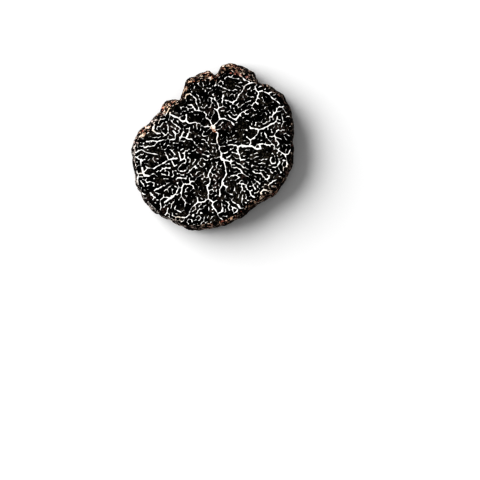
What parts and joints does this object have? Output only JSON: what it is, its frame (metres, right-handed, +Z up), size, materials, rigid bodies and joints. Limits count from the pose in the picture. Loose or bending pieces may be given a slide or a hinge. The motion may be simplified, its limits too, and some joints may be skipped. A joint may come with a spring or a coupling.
{
  "type": "black truffle slice",
  "caption": "Thick raw slice of black truffle: dark cut faces crossed by a raised net of pale veins, inside a band of warty brown bark.",
  "frame": {"origin": "on the lower cut face, under the middle of the slice's outline", "axes": "+Z up out of the upper cut face; +Y towards the crease between the slice's two small lobes; +X to the right when looking down on the upper face"},
  "size_m": [0.0459, 0.0464, 0.0078],
  "materials": {
    "truffle": "near-black marbled flesh with off-white veins, matt; rough dark brown bark round the edge"
  },
  "bodies": {
    "root": {"truffle_slice": "truffle"}
  },
  "joints": []
}
